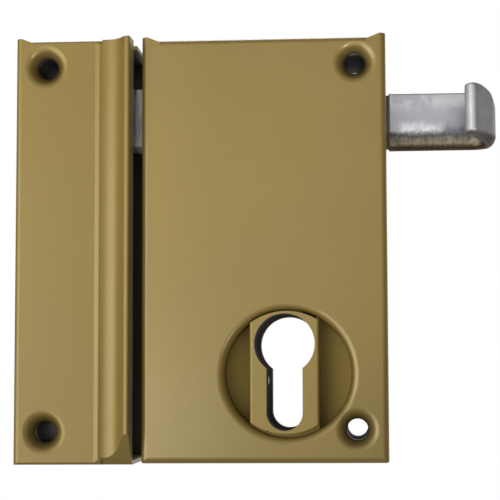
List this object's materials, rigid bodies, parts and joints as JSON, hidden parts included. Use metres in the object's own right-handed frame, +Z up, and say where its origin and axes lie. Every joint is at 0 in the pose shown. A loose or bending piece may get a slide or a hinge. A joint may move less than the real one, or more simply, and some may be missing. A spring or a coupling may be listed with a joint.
{
  "type": "rim lock",
  "caption": "Upright rim lock with a sprung latch, a hooked pull, a deadbolt, an opening for a profile cylinder in a guarded well, and its box keeper",
  "frame": {"origin": "the cylinder's axis where it crosses the door's face, at the back of the case", "axes": "+X from the keeper to the pull, +Y into the door, +Z up; the front of the case looks along -Y"},
  "size_m": [0.1397, 0.0321, 0.1234],
  "materials": {
    "bronze_lacquer": "fine satin bronze lacquer",
    "nickel_plate": "satin nickel plating",
    "bolt_steel": "milled, plated",
    "steel": "zinc plated",
    "spring_steel": "oiled spring steel"
  },
  "bodies": {
    "case": {"case_cover": "bronze_lacquer", "cylinder_guard": "bronze_lacquer", "back_plate": "bronze_lacquer", "cover_posts": "steel", "back_plate_screws": "steel", "screw_sleeves": "steel", "guard_posts": "steel", "lever_pivot": "steel", "bolt_guide_pin": "steel", "bolt_brake_spring": "spring_steel", "spring_bracket": "steel", "latch_spring": "spring_steel"},
    "latch": {"latch_bolt": "bolt_steel", "latch_rivets": "bolt_steel", "pull_handle": "nickel_plate", "spring_rod": "steel", "lever_stud": "steel"},
    "deadbolt": {"deadbolt_head": "bolt_steel", "deadbolt_tail": "bolt_steel", "deadbolt_rivets": "bolt_steel"},
    "lever": {"retract_lever": "steel", "cam_follower": "steel"},
    "keeper": {"keeper_cover": "bronze_lacquer", "keeper_plate": "bronze_lacquer", "keeper_posts": "steel", "keeper_screws": "steel", "keeper_sleeves": "steel"}
  },
  "joints": [
    {"name": "latch_slide", "type": "slide", "parent": "case", "child": "latch", "axis": [1, 0, 0], "range_m": [0, 0.0125], "stiffness_N_per_m": 400, "springref_m": -0.01, "deforming": ["latch_spring"]},
    {"name": "deadbolt_slide", "type": "slide", "parent": "case", "child": "deadbolt", "axis": [-1, 0, 0], "range_m": [0, 0.02]},
    {"name": "lever_pivot_hinge", "type": "hinge", "parent": "case", "child": "lever", "pos_m": [0.008, 0, 0.014], "axis": [0, 1, 0], "range_deg": [0, 13.8]},
    {"name": "keeper_shift", "type": "slide", "parent": "case", "child": "keeper", "axis": [-1, 0, 0], "range_m": [0, 0.02]}
  ],
  "couplings": [
    {"joint": "lever_pivot_hinge", "follows": "latch_slide", "rad_per_m": 19.129}
  ]
}
